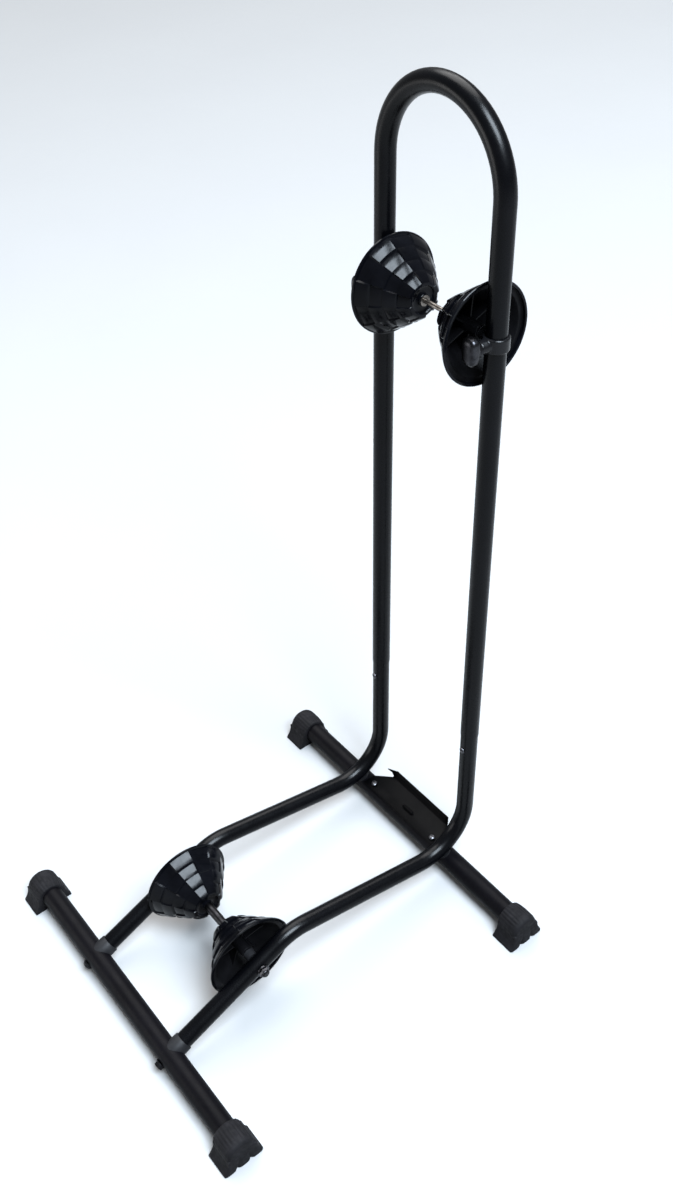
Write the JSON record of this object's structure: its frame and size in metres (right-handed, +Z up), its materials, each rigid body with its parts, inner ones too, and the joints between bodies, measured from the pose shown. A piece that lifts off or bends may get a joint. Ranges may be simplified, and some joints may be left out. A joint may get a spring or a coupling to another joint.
{
  "type": "bicycle wheel stand",
  "caption": "Tubular floor stand that holds a bicycle by one wheel between cone rollers; the upper roller pair slides and clamps on a leaning mast.",
  "frame": {"origin": "on the floor, at the centre of the bounding box's bottom face", "axes": "+Z up; +X along the cross tubes, to the right as seen from the front; +Y towards the mast and the rear cross tube"},
  "size_m": [0.45, 0.5616, 0.9235],
  "materials": {
    "frame_paint": "satin black powder coat",
    "cross_paint": "matte black powder coat",
    "bright_steel": "zinc plated",
    "black_steel": "blackened steel",
    "bare_steel": "bare drawn steel, dull",
    "black_plastic": "matte",
    "foot_rubber": "matte dark grey rubber",
    "roller_plastic": "glossy injection moulded",
    "collar_plastic": "satin",
    "knob_metal": "dull cast metal"
  },
  "bodies": {
    "frame": {"hoop_tube": "frame_paint", "base_tube_left": "frame_paint", "base_tube_right": "frame_paint", "joint_screws": "bright_steel", "joint_nuts": "bright_steel", "rear_cross_tube": "cross_paint", "rear_bolts": "black_steel", "rear_saddles": "black_plastic", "rear_rivet_nuts": "bright_steel", "front_cross_tube": "cross_paint", "front_bolts": "black_steel", "front_washers": "black_steel", "front_saddles": "black_plastic", "front_tube_inserts": "bright_steel", "foot_front_left": "foot_rubber", "foot_front_right": "foot_rubber", "foot_rear_left": "foot_rubber", "foot_rear_right": "foot_rubber", "tyre_stop_plate": "frame_paint", "plate_screws": "bright_steel", "lower_axle_bolt": "black_steel", "lower_axle_nut": "black_steel", "lower_axle_washers": "black_steel", "lower_axle_sleeve": "black_steel", "lower_axle_spacers": "black_plastic"},
    "upper_roller_left": {"upper_roller_left": "roller_plastic"},
    "upper_roller_right": {"upper_roller_right": "roller_plastic"},
    "lower_roller_left": {"lower_roller_left": "roller_plastic"},
    "lower_roller_right": {"lower_roller_right": "roller_plastic"},
    "clamp_left": {"clamp_screw_left": "bright_steel", "clamp_knob_left": "knob_metal"},
    "clamp_right": {"clamp_screw_right": "bright_steel", "clamp_knob_right": "knob_metal"},
    "carriage": {"upper_axle": "bare_steel", "upper_axle_clips": "bare_steel", "upper_axle_washers": "bright_steel", "collar_left": "collar_plastic", "collar_right": "collar_plastic"}
  },
  "joints": [
    {"name": "carriage_slide", "type": "slide", "parent": "frame", "child": "carriage", "axis": [0, 0.0872, 0.9962], "range_m": [-0.485, 0.07]},
    {"name": "upper_roller_left_spin", "type": "hinge", "parent": "carriage", "child": "upper_roller_left", "pos_m": [-0.044, 0.22783, 0.70685], "axis": [1, 0, 0], "continuous": true},
    {"name": "upper_roller_right_spin", "type": "hinge", "parent": "carriage", "child": "upper_roller_right", "pos_m": [0.044, 0.22783, 0.70685], "axis": [1, 0, 0], "continuous": true},
    {"name": "lower_roller_left_spin", "type": "hinge", "parent": "frame", "child": "lower_roller_left", "pos_m": [-0.044, -0.13205, 0.06631], "axis": [1, 0, 0], "continuous": true},
    {"name": "lower_roller_right_spin", "type": "hinge", "parent": "frame", "child": "lower_roller_right", "pos_m": [0.044, -0.13205, 0.06631], "axis": [1, 0, 0], "continuous": true},
    {"name": "clamp_left_turn", "type": "hinge", "parent": "carriage", "child": "clamp_left", "pos_m": [-0.081, 0.22761, 0.70436], "axis": [0, -0.9962, 0.0872], "range_deg": [0, 360]},
    {"name": "clamp_right_turn", "type": "hinge", "parent": "carriage", "child": "clamp_right", "pos_m": [0.081, 0.22761, 0.70436], "axis": [0, -0.9962, 0.0872], "range_deg": [0, 360]}
  ]
}
